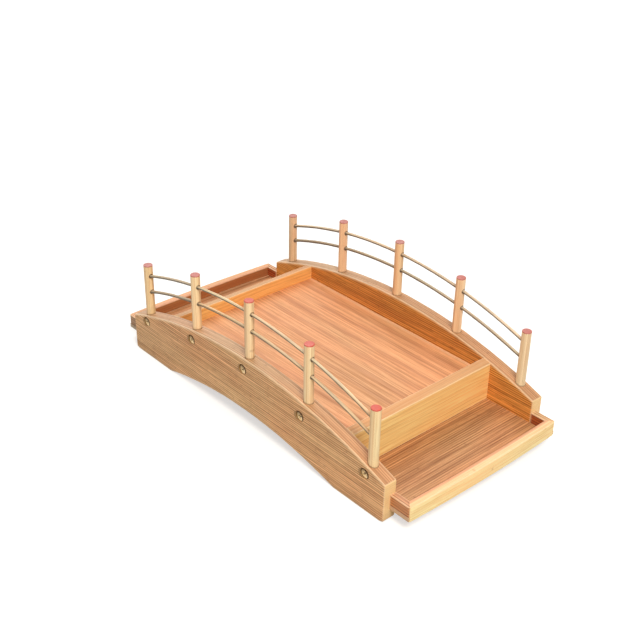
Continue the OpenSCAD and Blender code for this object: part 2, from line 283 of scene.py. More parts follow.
def bamboo_grain():
    """Group with the grain of glued bamboo. Place runs along the fibre in X, through the board in Y
    and across its strips in Z, Strip is a strip's width, Wave how far the grain wanders, and Seed tells
    the boards apart. Tone is 0 in dark and 1 in light fibre, Seam covers the glue lines and pores, Joint
    the marks of the stem's joints, Cloud is the slow change of hue over a board, and Height is for a
    bump."""
    group = bpy.data.node_groups.new("bamboo_grain", "ShaderNodeTree")
    for socket, kind in (("Place", "Vector"), ("Strip", "Float"), ("Wave", "Float"), ("Seed", "Float")):
        group.interface.new_socket(socket, in_out="INPUT", socket_type="NodeSocket" + kind)
    given = group.nodes.new("NodeGroupInput").outputs

    # Each board is cut from another place in the wood, and its grain wanders slowly.
    shift = wire(group, "CombineXYZ", {0: sums(group, "MULTIPLY", given["Seed"], 0.37),
                                       1: sums(group, "MULTIPLY", given["Seed"], 0.11)}).outputs[0]
    place = wire(group, "VectorMath", {0: given["Place"], 1: shift}, operation="ADD").outputs[0]
    wander = sums(group, "SUBTRACT", noise(group, place, (9, 26, 26), 1.0), 0.5)
    drift = sums(group, "MULTIPLY", wander, given["Wave"])
    bent = wire(group, "CombineXYZ", {1: drift, 2: drift}).outputs[0]
    along = wire(group, "VectorMath", {0: place, 1: bent}, operation="ADD").outputs[0]

    # Strips are numbered across the board. Each has a tone of its own, and a patchy glue line.
    parts = parts_of(group, along)
    strips = sums(group, "DIVIDE", parts[2], given["Strip"])
    number = sums(group, "FLOOR", strips)
    random = wire(group, "TexWhiteNoise", {"W": sums(group, "ADD", number, given["Seed"])},
                  noise_dimensions="1D").outputs[0]
    off_middle = sums(group, "ABSOLUTE", sums(group, "SUBTRACT", sums(group, "FRACT", strips), 0.5))
    patchy = ramp(group, noise(group, along, (21, 160, 160), 1.0), 0.3, 0.6, 0.35, 1.0)
    glue = sums(group, "MULTIPLY", ramp(group, off_middle, 0.2, 0.46), patchy)
    pore = ramp(group, noise(group, along, (80, 1700, 1700), 1.0), 0.6, 0.7)
    seam = sums(group, "MAXIMUM", glue, sums(group, "MULTIPLY", pore, 0.7))

    # A stem has about two joints in a metre, at another place in each strip.
    stem = sums(group, "ADD", sums(group, "MULTIPLY", parts[0], 1.9), sums(group, "MULTIPLY", random, 7.0))
    off_joint = sums(group, "ABSOLUTE", sums(group, "SUBTRACT", sums(group, "FRACT", stem), 0.5))
    joint = ramp(group, off_joint, 0.004, 0.001)

    # Coarse and fine fibre make the tone, and they stand up a little over the seams.
    fibre = noise(group, along, (5, 520, 520), 2.0, 0.6)
    hair = noise(group, along, (26, 1500, 1500), 2.0, 0.6)
    coarse = ramp(group, fibre, 0.36, 0.64, 0.0, 0.48)
    fine = ramp(group, hair, 0.36, 0.64, 0.0, 0.34)
    tone = sums(group, "ADD", sums(group, "MULTIPLY", random, 0.18), sums(group, "ADD", coarse, fine))
    relief = sums(group, "MULTIPLY", sums(group, "ADD", fibre, hair), 0.5)
    height = sums(group, "SUBTRACT", relief, sums(group, "MULTIPLY", seam, 0.35))
    cloud = noise(group, place, (9, 22, 22), 2.0)

    made = {"Tone": tone, "Seam": seam, "Joint": joint, "Cloud": cloud, "Height": height}
    for socket in made:
        group.interface.new_socket(socket, in_out="OUTPUT", socket_type="NodeSocketFloat")
    result = group.nodes.new("NodeGroupOutput").inputs
    for socket, value in made.items():
        group.links.new(value, result[socket])
    return group


def worn_and_lit_edges():
    """Group that lightens a colour towards bare wood, by worn_and_lit_share where the mask `edge` is full:
    wear, and a painted highlight along the eased edges.
    """
    group = bpy.data.node_groups.new("worn_and_lit_edges", "ShaderNodeTree")
    for way in ("INPUT", "OUTPUT"):
        group.interface.new_socket("Colour", in_out=way, socket_type="NodeSocketColor")
    given = group.nodes.new("NodeGroupInput").outputs["Colour"]
    share = sums(group, "MULTIPLY", read_mask(group, "edge"), worn_and_lit_share)
    rubbed = blend(group, share, given, worn_and_lit_wood)
    group.links.new(rubbed, group.nodes.new("NodeGroupOutput").inputs["Colour"])
    return group


edge_on_cosines = (0.6, 0.85)
endwise_cosines = (0.6, 0.9)
skyward_cosines = (0.55, 0.9)
inward_cosines = (-0.55, -0.85)
warm_cloud = (1.05, 0.96, 0.92, 1)
cool_cloud = (0.96, 1.0, 0.99, 1)
light_fibre = (1.12, 1.13, 1.12, 1)
calm_fibre = (0.94, 0.92, 0.9, 1)
calm_end_share = 0.75
seam_dye = (0.42, 0.27, 0.18, 1)
joint_dye = (0.42, 0.3, 0.22, 1)
# Lighter eased edges: wear and a painted highlight.
worn_and_lit_wood = (1, 0.76, 0.48, 1)
worn_and_lit_share = 0.385
hole_shade = srgb(98, 62, 36)
oiled_roughness = (0.64, 0.46)
grain_depth = 0.0003
grain = bamboo_grain()
edge_wear_and_light = worn_and_lit_edges()


def bamboo(name, order, strip, seed, face, top, inside, ends=None, dark=0.5, seams=0.4, wave=0.0008,
           joints=0.3, even=0.0, ply_and_shade_colour=hole_shade):
    """Bamboo board, oiled. order names the axes along the fibre, through the board and across its
    strips. face is the colour of its sides, top of what looks up, inside of what faces a tray or the
    deck, painted shade and warm bounce light, and ends of its end grain. dark is the share of light
    that the darkest fibre keeps, seams and joints are the strength of those lines, wave is how far the
    grain wanders, and even takes the contrast out of what looks up. stain is the colour where the mask
    `ply_and_shade` says: the tray ends' redder ply, and painted shade in the screws' pits and round the
    posts' rail holes and feet."""
    made = bpy.data.materials.new(name)
    made.use_nodes = True
    tree = made.node_tree
    shader = tree.nodes["Principled BSDF"]
    axes = parts_of(tree, place_on(tree))
    looks = facing(tree)
    fibre, through, across = ("XYZ".index(letter) for letter in order)

    # On a face that looks across the strips, their lines are drawn through the board instead.
    edge_on = ramp(tree, sums(tree, "ABSOLUTE", looks[across]), *edge_on_cosines)
    strips = between(tree, edge_on, axes[across], axes[through])
    place = wire(tree, "CombineXYZ", {0: axes[fibre], 1: axes[through], 2: strips}).outputs[0]
    given = {"Place": place, "Strip": strip, "Wave": wave, "Seed": seed}
    lines = wire(tree, "Group", given, node_tree=grain, name="grain")

    # The ground colour goes by the way that a face looks, and changes slowly over the board.
    # Faces that look into a tray or over the deck take the inside colour: painted shade and warm bounce
    # light.
    inward_x = sums(tree, "MULTIPLY", looks[0], sums(tree, "SIGN", axes[0]))
    inward_y = sums(tree, "MULTIPLY", looks[1], sums(tree, "SIGN", axes[1]))
    inward = ramp(tree, sums(tree, "MINIMUM", inward_x, inward_y), *inward_cosines)
    endwise = ramp(tree, sums(tree, "ABSOLUTE", looks[fibre]), *endwise_cosines)
    skyward = ramp(tree, looks[2], *skyward_cosines)
    sides = blend(tree, endwise, blend(tree, inward, face, inside), ends or face)
    ground = blend(tree, skyward, sides, top)
    hue = ramp(tree, lines.outputs["Cloud"], 0.3, 0.7)
    tint = blend(tree, 1.0, ground, blend(tree, hue, warm_cloud, cool_cloud), "MULTIPLY")

    # End grain shows little of the fibre and the seams.
    dark_fibre = (dark, dark * 0.81, dark * 0.64, 1)
    shade = blend(tree, lines.outputs["Tone"], dark_fibre, light_fibre)
    calm_ends = sums(tree, "MULTIPLY", endwise, calm_end_share)
    calm = sums(tree, "MAXIMUM", calm_ends, sums(tree, "MULTIPLY", skyward, even))
    fibred = blend(tree, 1.0, tint, blend(tree, calm, shade, calm_fibre), "MULTIPLY")
    glued = sums(tree, "MULTIPLY", lines.outputs["Seam"], sums(tree, "MULTIPLY_ADD", calm, -seams, seams))
    seamed = blend(tree, glued, fibred, seam_dye, "MULTIPLY")
    jointed = sums(tree, "MULTIPLY", lines.outputs["Joint"], joints)
    marked = blend(tree, jointed, seamed, joint_dye, "MULTIPLY")
    rubbed = wire(tree, "Group", {"Colour": marked}, node_tree=edge_wear_and_light).outputs["Colour"]
    # The mask's colour is the tray ends' redder ply, or painted shade in pits and round post holes.
    tree.links.new(blend(tree, read_mask(tree, "ply_and_shade"), rubbed, ply_and_shade_colour), shader.inputs["Base Color"])

    rough = ramp(tree, lines.outputs["Tone"], 0.0, 1.0, *oiled_roughness)
    tree.links.new(rough, shader.inputs["Roughness"])
    bump = wire(tree, "Bump", {"Strength": 0.4, "Distance": grain_depth, "Height": lines.outputs["Height"]})
    tree.links.new(bump.outputs[0], shader.inputs["Normal"])
    return made


def screw_place(x):
    """Middle of the near screw by a post at x, along and up: halfway between its points' limits."""
    own = screw_cad[abs(screw_cad[:, 0] - x) < screw_reach][:, [0, 2]]
    return (own.min(0) + own.max(0)) / 2


screw_cad = triples(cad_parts["screws_near"].data.vertices, "co").astype(float)
screw_places = [screw_place(x) for x in post_x]
panel_top_r = arc_radius(half_l, panel_crown_z - panel_end_z)
arch_r = arc_radius(half_l - foot_l, arch_crown_z)
panel_face = srgb(255, 203, 143)
panel_top = srgb(217, 168, 122)
# Inside colour: painted shade and warm bounce light on the faces over the deck and trays.
panel_inside_shade = srgb(255, 180, 91)
panel_ends = srgb(252, 208, 126)
# Painted shade in the screws' pits and round them.
pit_shade = srgb(142, 104, 54)
pit_shade_share = 0.7
pit_shade_rise = 0.3
pit_margin = 0.0001


def side_panel(side, name, seed):
    """Panel on edge: top on one arc, bottom flat under the feet and on another arc between them, and
    a chamfer under each end. The mask `ply_and_shade` puts painted shade in the screws' pits, more on their
    upper side."""
    x = stations([-half_l, foot_l - half_l, half_l - foot_l, half_l], panel_ease, panel_step)
    top = arc_height(x, panel_crown_z, panel_top_r) + waver(x, sanding_waver, seed) - sanding_waver
    arch = arc_height(x, arch_crown_z, arch_r) + waver(x, sanding_waver, seed + 1)
    bottom = np.where(abs(x) < half_l - foot_l, np.maximum(arch, 0), 0)
    bottom = bottom + np.clip(foot_chamfer - (half_l - abs(x)), 0, None)
    low, high = sorted((side * inner_y, side * outer_y))
    points, faces, edge = board(x, low, high, bottom, top, panel_ease, panel_ease)
    panel = make_mesh(name, points, faces, {"edge": edge})
    cutters = []
    for place, foot, screw in zip(post_x, post_foot_z, screw_places):
        bore, bore_faces = turned([post_r + post_bore_gap] * 2, [foot, foot + post_bore_h], bore_sides)
        bore += (place, side * post_y, 0)
        cutters.append(make_mesh("cutter", bore, bore_faces))
        sink, sink_faces = turned([counterbore_r] * 2, [-counterbore_deep, counterbore_deep], bore_sides)
        sink = sink[:, [0, 2, 1]] + (screw[0], side * outer_y, screw[1])
        cutters.append(make_mesh("cutter", sink, sink_faces))
    drill(panel, cutters)
    # Painted shade on the pits' walls, more towards their top, under the rim.
    middles = triples(panel.data.polygons, "center")
    offs = np.array([np.hypot(middles[:, 0] - x, middles[:, 2] - z) for x, z in screw_places])
    above = middles[:, 2] - np.array(screw_places)[offs.argmin(0), 1]
    depth = outer_y - abs(middles[:, 1])
    sunk = (offs.min(0) < counterbore_r) & (depth > pit_margin) & (depth < outer_y - post_y)
    pit_shaded = sunk * np.clip(pit_shade_share + pit_shade_rise * above / counterbore_r, 0, 1)
    add_mask(panel.data, "ply_and_shade", pit_shaded, "FACE")
    return panel


# Painted light on the panels' tops, growing towards the left end.
left_light_start_x = 0.07
left_light_full_x = -0.13
left_top_light = (1.08, 1.26, 1.5, 1)
deck_half_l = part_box("deck_board")[1].x
# Painted shade on the panels' inner faces over the sunk deck.
deck_wall_shade_fade = 0.004
deck_wall_shade = (0.86, 0.83, 0.78, 1)
# The feet get darker towards the bottom.
foot_dark_start_z = 0.015
foot_dark_full_z = 0.003
foot_darkening = (0.88, 0.86, 0.84, 1)
# Painted shade round each screw's pit, shifted to its left and a little down.
pit_halo_shift = 0.0028
pit_halo_r = 0.0058
pit_halo_full_r = 0.78 * pit_halo_r
pit_halo_share = 0.75


def paint_light_and_shade(finish, side):
    """Paints light on the top towards the left end. Paints shade on the inner face over the deck and
    round each screw's pit, most on its left, and makes the feet darker towards the bottom."""
    tree = finish.node_tree
    colour = tree.nodes["Principled BSDF"].inputs["Base Color"]
    plain = colour.links[0].from_socket
    spot = place_on(tree)
    along, _, up = parts_of(tree, spot)
    looks = facing(tree)
    skyward = ramp(tree, looks[2], *skyward_cosines)
    # Painted light on what looks up, towards the left end.
    left_lit = sums(tree, "MULTIPLY", ramp(tree, along, left_light_start_x, left_light_full_x), skyward)
    plain = blend(tree, left_lit, plain, left_top_light, "MULTIPLY")
    # Painted shade on the inner face over the deck.
    inward = ramp(tree, sums(tree, "MULTIPLY", looks[1], side), *inward_cosines)
    over_deck = ramp(tree, sums(tree, "ABSOLUTE", along), deck_half_l, deck_half_l - deck_wall_shade_fade)
    plain = blend(tree, sums(tree, "MULTIPLY", over_deck, inward), plain, deck_wall_shade, "MULTIPLY")
    # Darker towards the bottom of the feet.
    plain = blend(tree, ramp(tree, up, foot_dark_start_z, foot_dark_full_z), plain, foot_darkening, "MULTIPLY")
    # Painted shade round each screw's pit, most on its left.
    nearest = 1.0
    for x, z in screw_places:
        middle = (x - pit_halo_shift, side * outer_y, z - pit_halo_shift / 4)
        off = wire(tree, "VectorMath", {0: spot, 1: middle}, operation="DISTANCE").outputs["Value"]
        nearest = sums(tree, "MINIMUM", off, nearest)
    pit_halo = ramp(tree, nearest, pit_halo_r, pit_halo_full_r, 0.0, pit_halo_share)
    tree.links.new(blend(tree, pit_halo, plain, pit_shade), colour)


for side, where, seed in ((-1, "near", 1), (1, "far", 4)):
    finish = bamboo(f"panel_{where}_bamboo", "XYZ", panel_strip, seed, panel_face, panel_top, panel_inside_shade,
                    panel_ends, dark=0.5, seams=0.9, even=0.3, ply_and_shade_colour=pit_shade)
    paint_light_and_shade(finish, side)
    fit(side_panel(side, f"panel_{where}", seed), finish, f"side_panel_{where}")

# Tray floors: one thin bamboo board at each end, slid into the panels' grooves. The strips run
# across the bridge, and the end that reaches past the panels is cut to the rim around it.
floor_low, floor_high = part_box("tray_floor_right")
floor_in_x = floor_low.x
floor_step = 0.005
floor_ease = 0.0002
floor_strip = 0.0027
tray_y = floor_high.y
corner_x = half_l + 0.0245
rim_bow_in = 0.0015
rim_wall = 0.008
rim_in_x = corner_x - rim_wall
rim_ease = 0.0009
bow_in_r = arc_radius(inner_y, rim_bow_in)
floor_face = srgb(208, 150, 100)
floor_top = srgb(208, 154, 104)
# Inside colour: painted shade.
floor_inside_shade = srgb(214, 140, 90)
# Painted shade: the left end is much darker than the right.
floor_ends = {"left": srgb(104, 77, 61), "right": srgb(190, 122, 74)}


def bow_in(y):
    """Distance out to the rim's bowed inner face at y, and to the corner past its ends."""
    return arc_height(np.clip(y, -inner_y, inner_y), rim_in_x + rim_bow_in, bow_in_r)


def mitre_x(y):
    """Distance out to the mitre at y, which runs straight from the inner to the outer corner."""
    return rim_in_x + (abs(y) - inner_y) * rim_wall / (tray_y - inner_y)


def tray_floor(end, name):
    """Floor carried along Y. Its outer edge follows the rim's inner face, and then the mitre."""
    y = stations([-tray_y, -inner_y, inner_y, tray_y], rim_ease, floor_step)
    outer = np.where(abs(y) < inner_y, bow_in(y), mitre_x(y))
    if end > 0:
        low, high = floor_in_x, outer
        eases = (floor_ease, rim_ease, floor_ease, floor_ease)
    else:
        low, high = -outer, -floor_in_x
        eases = (rim_ease, floor_ease, floor_ease, floor_ease)
    points, faces, edge = board(y, low, high, floor_low.z, floor_high.z, eases, rim_ease)
    return make_mesh(name, points[:, [1, 0, 2]], faces, {"edge": edge})


for end, where, seed in ((-1, "left", 7), (1, "right", 11)):
    finish = bamboo(f"tray_floor_{where}_bamboo", "YZX", floor_strip, seed, floor_face, floor_top,
                    floor_inside_shade, floor_ends[where], dark=0.44, seams=0.7)
    fit(tray_floor(end, f"tray_board_{where}"), finish, f"tray_floor_{where}")

# Risers: a pale cross board at each end of the deck, doweled between the panels. It stands on the
# tray's floor, and its top is planed to the panels' curve. The dowels stay hidden in their bores.
riser_low, riser_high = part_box("riser_right")
riser_ease = 0.0006
riser_step = 0.005
riser_strip = 0.0042
riser_planed_h = 0.01
riser_face = srgb(255, 220, 148)
riser_top = srgb(213, 168, 121)
# Inside colour: painted shade.
riser_inside_shade = srgb(243, 189, 113)
dowel_wood = srgb(225, 185, 130)
dowel_strip = 0.02


def riser(end, name, seed):
    """Riser carried along Y. Its upper part is sheared by the panels' arc, so that the top slopes as
    they do, and the top wavers a little from sanding."""
    y = stations([-inner_y, inner_y], riser_ease, riser_step)
    top = riser_high.z + waver(y, sanding_waver, seed) - sanding_waver
    low, high = sorted((end * riser_low.x, end * riser_high.x))
    points, faces, edge = board(y, low, high, riser_low.z, top, riser_ease, riser_ease)
    slope = (arc_height(abs(points[:, 1]), panel_crown_z, panel_top_r)
             - arc_height(riser_low.x, panel_crown_z, panel_top_r))
    planed = points[:, 2] > riser_high.z - riser_planed_h
    points[:, 2] += np.where(planed, slope, 0)
    return make_mesh(name, points[:, [1, 0, 2]], faces, {"edge": edge})


for end, where, seed in ((-1, "left", 3), (1, "right", 8)):
    finish = bamboo(f"riser_{where}_bamboo", "YXZ", riser_strip, seed, riser_face, riser_top, riser_inside_shade,
                    dark=0.88, seams=0.2, wave=0.007, joints=0.0)
    fit(riser(end, f"riser_board_{where}", seed), finish, f"riser_{where}")

dowel_finish = bamboo("dowel_bamboo", "YXZ", dowel_strip, 5, dowel_wood, dowel_wood, dowel_wood)
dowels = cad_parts["riser_dowels"]
dowels.data.materials.clear()
dowels.data.materials.append(dowel_finish)

# Deck board: one thin bamboo board sunk between the panels and the risers. Its tongue sits in their
# grooves, so only the flat top and the flat underside show.
deck_low, deck_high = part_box("deck_board")
deck_ease = 0.0003
deck_step = 0.006
deck_strip = 0.02
deck_wood = srgb(230, 170, 120)
deck_x = stations([-riser_low.x, riser_low.x], deck_ease, deck_step)
points, faces, edge = board(deck_x, -inner_y, inner_y, deck_low.z, deck_high.z, deck_ease, deck_ease)
deck = make_mesh("deck", points, faces, {"edge": edge})
finish = bamboo("deck_bamboo", "XZY", deck_strip, 13, deck_wood, deck_wood, deck_wood, dark=0.6, joints=0.0)
fit(deck, finish, "deck_board")

# Tray rims: bamboo walls glued to each floor's edges. An end wall that bows slightly outward and two
# short side walls are mitred at the corners, and sanded round there and on their top edges.
rim_low, rim_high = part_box("tray_end_right")
rim_bow = rim_high.x - corner_x
bow_out_r = arc_radius(tray_y, rim_bow)
corner_r = 0.003
corner_y = tray_y - corner_r
corner_tip = corner_r * 0.62
corner_rings = 24
bow_out_x = corner_x + rim_bow - bow_out_r
corner_mid_x = bow_out_x + np.sqrt((bow_out_r - corner_r) ** 2 - corner_y ** 2)
joint_ease = 0.00008
tip_ease = 0.00001
tip_wall = 0.0001
joint_wear = 0.5
wall_rings = 61
side_rings = 9
wall_strip = 0.00305
wall_face = srgb(255, 232, 172)
# Inside colour: painted shade, deepest in the left tray.
wall_inside_shade = srgb(167, 107, 65)
# Painted shade: the left copy is darker than the right.
wall_top = {"left": srgb(228, 180, 138), "right": srgb(248, 208, 162)}
ply_stain = srgb(214, 150, 112)
ply_share = 0.85
ply_w = 0.0036
ply_fade = 0.0012
# Inside colour: painted shade and warm bounce light.
side_inside_shade = srgb(190, 100, 48)
# Painted shade: the left and near copies are darker than the far right one.
side_top = {"near_left": srgb(228, 180, 138), "near_right": srgb(218, 162, 122),
            "far_left": srgb(228, 180, 138), "far_right": srgb(248, 208, 162)}
# Painted shade: the near copies are darker than the far ones, the left darkest.
side_face = {"near_left": srgb(184, 148, 106), "near_right": srgb(220, 152, 98),
             "far_left": srgb(255, 202, 152), "far_right": srgb(255, 202, 152)}


def rim_outline(y):
    """Distance out to the rim's outer face at y: the bow, then the round of the corner."""
    bow = bow_out_x + np.sqrt(bow_out_r ** 2 - np.square(y))
    past = np.clip(abs(y) - corner_y, 0, corner_r)
    return np.where(past > 0, corner_mid_x + np.sqrt(corner_r ** 2 - past ** 2), bow)


def rim_board(along, inner, outer, past, bottom, foot_ease, sign):
    """Wall of a rim from its inner to its outer side, mirrored where sign is -1. Its inner top edge
    is sharp past the inner corner, where the mitre is, and its inner bottom edge everywhere."""
    outer = np.maximum(outer, inner + tip_wall)
    eases = [joint_ease, foot_ease, rim_ease, np.where(past, joint_ease, rim_ease)]
    low, high = inner, outer
    if sign < 0:
        low, high = -outer, -inner
        eases = [eases[k] for k in (1, 0, 3, 2)]
    eases = np.stack([np.broadcast_to(ease, len(along)) for ease in eases], -1)
    return board(along, low, high, bottom, rim_high.z, eases, tip_ease)


def tray_end(end, name):
    """End wall carried along Y between the mitre lines. Past the inner corner its inner side is the
    mitre, and its outer side goes round the corner until they meet. The mask `ply_and_shade` is the redder
    ply on the inner side of its top."""
    corner = np.linspace(inner_y, corner_y + corner_tip, corner_rings)
    y = np.concatenate([-corner[::-1], np.linspace(-inner_y, inner_y, wall_rings)[1:-1], corner])
    past = abs(y) > inner_y
    inner = np.where(past, mitre_x(y), bow_in(y))
    points, faces, edge = rim_board(y, inner, rim_outline(y), past, rim_low.z, rim_ease, end)
    edge = np.where(abs(points[:, 0]) > inner_y, edge * joint_wear, edge)
    off_inside = abs(points[:, 1]) - bow_in(points[:, 0])
    on_top = points[:, 2] > rim_high.z - rim_ease / 2
    ply = ply_share * np.clip((ply_w - off_inside) / ply_fade, 0, 1) * on_top
    return make_mesh(name, points[:, [1, 0, 2]], faces, {"edge": edge, "ply_and_shade": ply})


for end, where, seed in ((-1, "left", 17), (1, "right", 21)):
    finish = bamboo(f"tray_end_{where}_bamboo", "YXZ", wall_strip, seed, wall_face, wall_top[where],
                    wall_inside_shade, dark=0.92, seams=0.15, ply_and_shade_colour=ply_stain)
    fit(tray_end(end, f"tray_rim_end_{where}"), finish, f"tray_end_{where}")


def tray_side(side, end, name):
    """Side wall carried along X from the panel's end. Past the inner corner its inner side is the
    mitre, and its outer side goes round the corner until they meet."""
    corner = np.linspace(rim_in_x, corner_mid_x + corner_tip, corner_rings)
    x = np.concatenate([np.linspace(half_l, rim_in_x, side_rings)[:-1], corner])
    past = x > rim_in_x
    inner = np.where(past, inner_y + (x - rim_in_x) * (tray_y - inner_y) / rim_wall, inner_y)
    turn = np.clip(x - corner_mid_x, 0, corner_r)
    outer = corner_y + np.sqrt(corner_r ** 2 - turn ** 2)
    points, faces, edge = rim_board(x, inner, outer, past, floor_high.z, joint_ease, side)
    points[:, 0] *= end
    return make_mesh(name, points, faces, {"edge": edge})


for side, where in ((-1, "near"), (1, "far")):
    for end, hand in ((-1, "left"), (1, "right")):
        corner = f"{where}_{hand}"
        finish = bamboo(f"tray_side_{corner}_bamboo", "XYZ", wall_strip, 25 + side + 3 * end,
                        side_face[corner], side_top[corner], side_inside_shade, dark=0.64, seams=1.0)
        fit(tray_side(side, end, f"tray_rim_side_{corner}"), finish, f"tray_side_{corner}")

# Posts: turned bamboo pegs that stand in the panels' curved tops. Each is drilled twice, square to the
# rails, and its top is dipped in pinkish red paint, which has faded more on some posts than on others.
rail_r = 0.0017
rail_crowns = {level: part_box(f"rail_near_{level}")[1].z - rail_r for level in ("upper", "lower")}
post_top_z = np.array([high.z for low, high in post_boxes])
rail_arc_r = arc_radius(post_x[-1], post_top_z[2] - post_top_z[-1])
rail_hole_r = 0.00205
rail_hole_sides = 40
rail_hole_overrun = 0.002
blind_hole_deep = 0.0021
post_ease = 0.0006
post_ease_rings = 5
post_turning = 0.00005
post_sides = 72
post_ring_step = 0.001
post_ring_margin = 0.0015
post_end_r = 0.0005
post_strip = 0.02
# Painted shade round the posts' rail holes and at their foot.
hole_shade_w = 0.0009
hole_shade_left = 0.45
foot_shade_h = 0.0012
foot_shade_share = 0.7
paint_deep = 0.0011
paint_thick = 0.00006
paint_edge = 0.0002
paint_ragged = 0.6
paint_cut = (0.42, 0.58)
paint_roughness = 0.38
paint_faded = (srgb(168, 93, 86), srgb(196, 134, 121))
paint_strong = (srgb(186, 59, 41), srgb(218, 95, 68))
paint_fresh = {"near": (0.1, 0.25, 0.8, 0.85, 1.0), "far": (0.05, 0.1, 0.0, 0.3, 0.25)}
post_wood = {"near": [srgb(250, 224, 176), srgb(254, 228, 182), srgb(255, 233, 190),
                      srgb(255, 232, 188), srgb(255, 235, 188)],
             "far": [srgb(244, 213, 176), srgb(248, 216, 177), srgb(254, 222, 179),
                     # The last far post's paler wood is painted light, as if lit from the right.
                     srgb(252, 222, 182), srgb(255, 242, 206)]}


def rail_z(x, crown):
    """Height of a rail's axis at x, on its arc."""
    return arc_height(x, crown, rail_arc_r)


def post_finish(name, seed, wood, fresh):
    """Post finish: pale bamboo with its fibre upright, and paint with a ragged edge where the mask
    `paint` says, in a red that has faded less the higher fresh is."""
    made = bamboo(name, "ZXY", post_strip, seed, wood, wood, wood, dark=0.74, seams=0.2)
    tree = made.node_tree
    shader = tree.nodes["Principled BSDF"]
    plain = shader.inputs["Base Color"].links[0].from_socket
    rough = shader.inputs["Roughness"].links[0].from_socket
    spot = place_on(tree)
    fleck = noise(tree, spot, (900, 900, 900))
    mottle = noise(tree, spot, (260, 260, 260))
    ragged = sums(tree, "MULTIPLY", sums(tree, "SUBTRACT", fleck, 0.5), paint_ragged)
    covered = ramp(tree, sums(tree, "ADD", read_mask(tree, "paint"), ragged), *paint_cut)
    red = blend(tree, fresh, blend(tree, mottle, *paint_faded), blend(tree, mottle, *paint_strong))
    tree.links.new(blend(tree, covered, plain, red), shader.inputs["Base Color"])
    tree.links.new(between(tree, covered, rough, paint_roughness), shader.inputs["Roughness"])
    return made


def post(side, number, name, seed):
    """Turned peg: a quarter arc at each end, rings a millimetre apart, and a radius that wavers a
    little from the lathe. Paint swells the top by its own thickness. The mask `ply_and_shade` rings the
    rail holes and the foot with painted shade, and `paint` rises to 1 at the top."""
    x, foot, top = post_x[number - 1], post_foot_z[number - 1], post_top_z[number - 1]
    turn = np.linspace(0, np.pi / 2, post_ease_rings)
    curl, shrink = post_ease * (1 - np.cos(turn)), post_ease * (1 - np.sin(turn))
    shaft = np.arange(foot + post_ring_margin, top - post_ring_margin, post_ring_step)
    heights = np.concatenate([[foot], foot + curl, shaft, top - curl[::-1], [top]])
    end_inset = [post_r - post_end_r]
    inset = np.concatenate([end_inset, shrink, np.zeros(len(shaft)), shrink[::-1], end_inset])
    radii = post_r - inset - post_turning + waver(heights, post_turning, seed)
    painted = np.clip((heights - top + paint_deep) / paint_edge, 0, 1) * (inset < post_ease)
    points, faces = turned(radii + paint_thick * painted, heights, post_sides)
    points += (x, side * post_y, 0)
    peg = make_mesh(name, points, faces)

    first, last = number == post_numbers[0], number == post_numbers[-1]
    through = post_r + rail_hole_overrun
    reach = (-blind_hole_deep if first else -through, blind_hole_deep if last else through)
    tilt = np.array(Matrix.Rotation(np.pi / 2 + np.arcsin(x / rail_arc_r), 3, "Y")).T
    cutters = []
    for crown in rail_crowns.values():
        hole, hole_faces = turned([rail_hole_r] * 2, reach, rail_hole_sides)
        hole = hole @ tilt + (x, side * post_y, rail_z(x, crown))
        cutters.append(make_mesh("cutter", hole, hole_faces))
    drill(peg, cutters)

    places = triples(peg.data.vertices, "co")
    # Painted shade round the rail holes, more where the rails leave to the right, and at the foot.
    off_rails = [np.square(places[:, 2] - rail_z(places[:, 0], crown)) for crown in rail_crowns.values()]
    off_axis = np.sqrt(np.square(places[:, 1] - side * post_y) + np.min(off_rails, axis=0))
    shares = np.where(places[:, 0] > x, 0.0 if last else 1.0, 0.0 if first else hole_shade_left)
    by_hole = shares * np.clip(1 - (off_axis - rail_hole_r) / hole_shade_w, 0, 1)
    above = places[:, 2] - arc_height(places[:, 0], panel_crown_z, panel_top_r)
    by_foot = foot_shade_share * np.clip(1 - above / foot_shade_h, 0, 1)
    add_mask(peg.data, "ply_and_shade", np.maximum(by_hole, by_foot))
    add_mask(peg.data, "paint", np.clip((places[:, 2] - top + 2 * paint_deep) / (2 * paint_deep), 0, 1))
    return peg


for side, where in ((-1, "near"), (1, "far")):
    for number, wood, fresh in zip(post_numbers, post_wood[where], paint_fresh[where]):
        seed = 31 + number * 3 + side
        finish = post_finish(f"peg_{where}_{number}_finish", seed, wood, fresh)
        peg = post(side, number, f"peg_{where}_{number}", seed)
        fit(peg, finish, f"post_{where}_{number}")

# Rails: thin split bamboo sticks, bent to one arc and threaded through the drilled posts. They stay
# a little uneven, greyer than the posts, and end inside the two end posts.
rail_end_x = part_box("rail_near_upper")[1].x
rail_end_gap = 0.002 * rail_r
rail_end_share = 0.8
rail_waver = 0.00007
rail_oval = 0.00005
rail_rings = 241
rail_sides = 24
rail_strip = 0.01
rail_wood = {"near_upper": srgb(250, 226, 186), "near_lower": srgb(246, 216, 172),
             "far_upper": srgb(240, 222, 193), "far_lower": srgb(206, 190, 162)}
rail_grey = srgb(182, 166, 142)
# Painted shade on the rails' undersides.
rail_underside_shade = srgb(112, 99, 80)
rail_patch_cut = (0.42, 0.66)
rail_patch_share = 0.45
rail_underside_cosines = (0.68, 0.1)
rail_underside_share = 0.9
# The rails get greyer over the stretch by the left end post.
rail_left_grey_start = -0.08
rail_left_grey_full = -0.1
rail_left_grey_share = {"near": 0.72, "far": 0.1}


